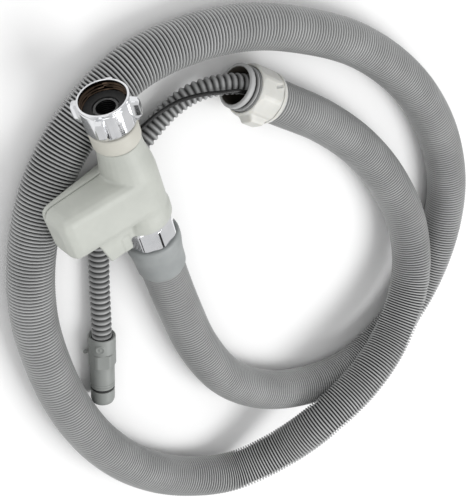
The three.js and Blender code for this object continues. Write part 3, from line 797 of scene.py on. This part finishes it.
def hose_plastic(name, crest_low, crest_high, groove, inside):
    """Corrugated plastic: noise-mottled crests, grooves painted near-black and the bore painted dark,
    both as painted shade.
    """
    material, nodes, links, shader = shader_of(name)
    crest = ramp(nodes, links, noise(nodes, links, 40.0), crest_low, crest_high)
    # Painted shade: the groove depth blends the crest colour into the near-black groove colour.
    depth = attribute(nodes, "groove")
    shaded = mixed(nodes, links, depth, crest, groove)
    # Painted shade: points marked inside take the dark bore colour.
    colour = mixed(nodes, links, attribute(nodes, "inside"), shaded, inside)
    links.new(colour, shader.inputs["Base Color"])
    links.new(spread(nodes, links, noise(nodes, links, 120.0), 0.40, 0.52), shader.inputs["Roughness"])
    shader.inputs["IOR"].default_value = 1.48
    bumped(nodes, links, shader, noise(nodes, links, 1800.0, 2.0), 0.10, 0.0001)
    return material


def metal(name, low, high, rough, grain, strength=0.06, stretch=None):
    """Metal with faint streaks in its gloss and, for turned steel, a stretched grain. A surface
    marked as inside is painted near-black brown, as painted shade in its hollow."""
    material, nodes, links, shader = shader_of(name)
    cloud = ramp(nodes, links, noise(nodes, links, 90.0), low, high)
    # Painted shade: a surface marked inside takes a near-black brown.
    colour_with_painted_shade = mixed(nodes, links, attribute(nodes, "inside"), cloud, (0.05, 0.035, 0.025))
    links.new(colour_with_painted_shade, shader.inputs["Base Color"])
    shader.inputs["Metallic"].default_value = 1.0
    links.new(spread(nodes, links, noise(nodes, links, 300.0), *rough), shader.inputs["Roughness"])
    bumped(nodes, links, shader, noise(nodes, links, grain, 3.0, stretch), strength, 0.00006)
    return material


# %% Finishes of this hose
# For each hose the third colour is the near-black painted shade of the grooves, and the fourth is the
# dark painted shade of the bore.
HOSE_GREY = hose_plastic(
    "sleeve grey", (0.37, 0.375, 0.375), (0.45, 0.455, 0.455), (0.008, 0.008, 0.008),
    (0.045, 0.04, 0.032),
)
FEED_GREY = hose_plastic(
    "feed tube grey", (0.32, 0.325, 0.325), (0.40, 0.405, 0.405), (0.008, 0.008, 0.008),
    (0.02, 0.02, 0.02),
)
SHELL_GREY = moulded_plastic("housing grey", (0.43, 0.445, 0.41), (0.49, 0.505, 0.465))
CREAM = moulded_plastic("collar cream", (0.48, 0.47, 0.42), (0.55, 0.54, 0.485))
NYLON = moulded_plastic("body nylon", (0.62, 0.61, 0.57), (0.72, 0.71, 0.67), milky=0.15)
MILKY = moulded_plastic(
    "gland nylon", (0.56, 0.56, 0.53), (0.66, 0.655, 0.62), rough=(0.28, 0.40), milky=0.3
)
CUFF_GREY = moulded_plastic(
    "cuff grey", (0.25, 0.265, 0.265), (0.31, 0.325, 0.325), rough=(0.48, 0.60), grain=1500.0
)
COUPLING_GREY = moulded_plastic(
    "coupling grey", (0.22, 0.232, 0.222), (0.28, 0.292, 0.282), rough=(0.36, 0.48)
)
RUBBER = moulded_plastic(
    "black rubber", (0.012, 0.012, 0.012), (0.03, 0.03, 0.03), rough=(0.55, 0.7)
)
JACKET = moulded_plastic(
    "cable jacket", (0.006, 0.006, 0.006), (0.014, 0.014, 0.014), rough=(0.18, 0.3), strength=0.03
)
CHROME = metal("chrome plate", (0.72, 0.73, 0.75), (0.80, 0.805, 0.82), (0.07, 0.13), 700.0, 0.03)
STEEL = metal(
    "turned steel", (0.50, 0.51, 0.52), (0.62, 0.63, 0.64), (0.25, 0.4), 1500.0, 0.1, (1, 6, 6)
)
BRASS = metal("brass", (0.62, 0.46, 0.20), (0.74, 0.57, 0.27), (0.25, 0.38), 900.0)
print("materials:", len(bpy.data.materials))


# %% [markdown]
# Two inner parts carry a regular pattern. The winding shows its turns as fine bands along the
# solenoid's axis, and the filter shows a woven mesh. Both use waves in Object coordinates.

# %% Winding and filter
def banded(name, low, high, scale, metallic, rough, axis):
    """Bands along one frame axis: the colour and the bump follow the same wave."""
    material, nodes, links, shader = shader_of(name)
    place = nodes.new("ShaderNodeTexCoord")
    wave = nodes.new("ShaderNodeTexWave")
    wave.bands_direction = axis
    wave.inputs["Scale"].default_value = scale
    wave.inputs["Distortion"].default_value = 0.3
    links.new(place.outputs["Object"], wave.inputs["Vector"])
    links.new(ramp(nodes, links, wave.outputs["Fac"], low, high), shader.inputs["Base Color"])
    shader.inputs["Metallic"].default_value = metallic
    shader.inputs["Roughness"].default_value = rough
    bumped(nodes, links, shader, wave.outputs["Fac"], 0.5, 0.0002)
    return material


WINDING = banded("copper winding", (0.34, 0.13, 0.05), (0.66, 0.30, 0.13), 420.0, 1.0, 0.3, "X")
MESH = banded("filter mesh", (0.04, 0.04, 0.04), (0.22, 0.22, 0.22), 500.0, 1.0, 0.35, "DIAGONAL")

# %% [markdown]
# Now each piece gets its finish. New pieces take one material, and the frame's own nodes that stay
# in view or inside take theirs in the same way, on their first material slot.

# %% Give each piece its finish
def paint(piece, material):
    """The piece shows this one material."""
    piece.data.materials.clear()
    piece.data.materials.append(material)


for piece, material in (
    (sleeve, HOSE_GREY), (feed, FEED_GREY), (cable, JACKET), (nut, CHROME), (union, CHROME),
    (collar, CREAM), (cuff, CUFF_GREY), (clamp, MILKY), (rim, MILKY), (upper, SHELL_GREY),
    (lower, SHELL_GREY), (quick_collar, COUPLING_GREY), (quick_body, COUPLING_GREY),
    (quick_cap, COUPLING_GREY), (quick_seal, RUBBER),
):
    paint(piece, material)

NODE_FINISHES = {
    "valve_body": NYLON, "outlet_spigot": NYLON, "coil_bobbin": NYLON, "cable_plug": NYLON,
    "inlet_washer": RUBBER, "diaphragm": RUBBER, "inlet_filter": MESH, "coil_winding": WINDING,
    "housing_screw_1": STEEL, "housing_screw_2": STEEL, "plunger": STEEL, "plunger_spring": STEEL,
    "fixed_core": STEEL, "coil_yoke": STEEL, "armature_tube": BRASS, "tube_ferrule": BRASS,
    "coil_terminal_1": BRASS, "coil_terminal_2": BRASS,
}
for node, material in NODE_FINISHES.items():
    paint(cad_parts[node], material)
print("frame nodes painted:", len(NODE_FINISHES))

# %% [markdown]


# %% [markdown]
# The stage is a plain pale floor. The light is soft: one wide panel above and behind, a fill from
# the camera's side, and a bright even surround. Chrome shows only what is round it, and without
# something dark it would look like white plastic. The nut leans away from the camera, so its side
# mirrors what lies behind the coil, low down. Three dark cards stand there, hidden from the camera.

# %% Floor, lights and cards
def flat_material(name, colour, roughness):
    """A plain finish for the stage."""
    material, _, _, shader = shader_of(name)
    shader.inputs["Base Color"].default_value = (*colour, 1)
    shader.inputs["Roughness"].default_value = roughness
    return material


def stage_plane(name, centre, across, along, material):
    """A rectangle whose two half sides are the vectors across and along."""
    centre, across, along = (np.array(v, dtype=float) for v in (centre, across, along))
    corners = [centre - across - along, centre + across - along, centre + across + along,
               centre - across + along]
    mesh = bpy.data.meshes.new(name)
    mesh.from_pydata([c.tolist() for c in corners], [], [(0, 1, 2, 3)])
    mesh.materials.append(material)
    plane = bpy.data.objects.new(name, mesh)
    bpy.context.scene.collection.objects.link(plane)
    return plane


def soft_light(name, at, aim, size, power):
    """A square area light at a point, facing another."""
    data = bpy.data.lights.new(name, "AREA")
    data.size = size
    data.energy = power
    light = bpy.data.objects.new(name, data)
    direction = np.array(aim) - np.array(at)
    back = -direction / np.linalg.norm(direction)
    side = np.cross([0.0, 1.0, 0.2], back)
    side /= np.linalg.norm(side)
    matrix = np.eye(4)
    matrix[:3, 0], matrix[:3, 1], matrix[:3, 2] = side, np.cross(back, side), back
    matrix[:3, 3] = at
    bpy.context.scene.collection.objects.link(light)
    light.matrix_world = Matrix(matrix.tolist())
    return light


stage_plane("floor", (0, 0, -0.0006), (4, 0, 0), (0, 4, 0), flat_material("floor", (0.9,) * 3, 0.7))
CARD = flat_material("dark card", (0.01,) * 3, 0.9)
for label, centre, half_width in (
    ("card_wide", (-0.13, 0.50, 0.38), 0.10),
    ("card_narrow", (0.22, 0.60, 0.34), 0.035),
    ("card_side", (0.42, 0.46, 0.20), 0.05),
):
    card = stage_plane(label, centre, (half_width, 0, 0), (0, 0, 0.17), CARD)
    card.visible_camera = False
soft_light("key", (-0.30, 0.55, 1.05), (0, 0, 0), 0.8, 9.5)
soft_light("fill", (0.70, -0.70, 0.80), (0, 0, 0), 0.7, 2.2)

world = bpy.data.worlds.new("surround")
bpy.context.scene.world = world
world.use_nodes = True
world.node_tree.nodes["Background"].inputs["Color"].default_value = (1, 1, 1, 1)
world.node_tree.nodes["Background"].inputs["Strength"].default_value = 0.76
bpy.context.scene.view_settings.view_transform = "Standard"
print("lights:", len(bpy.data.lights))
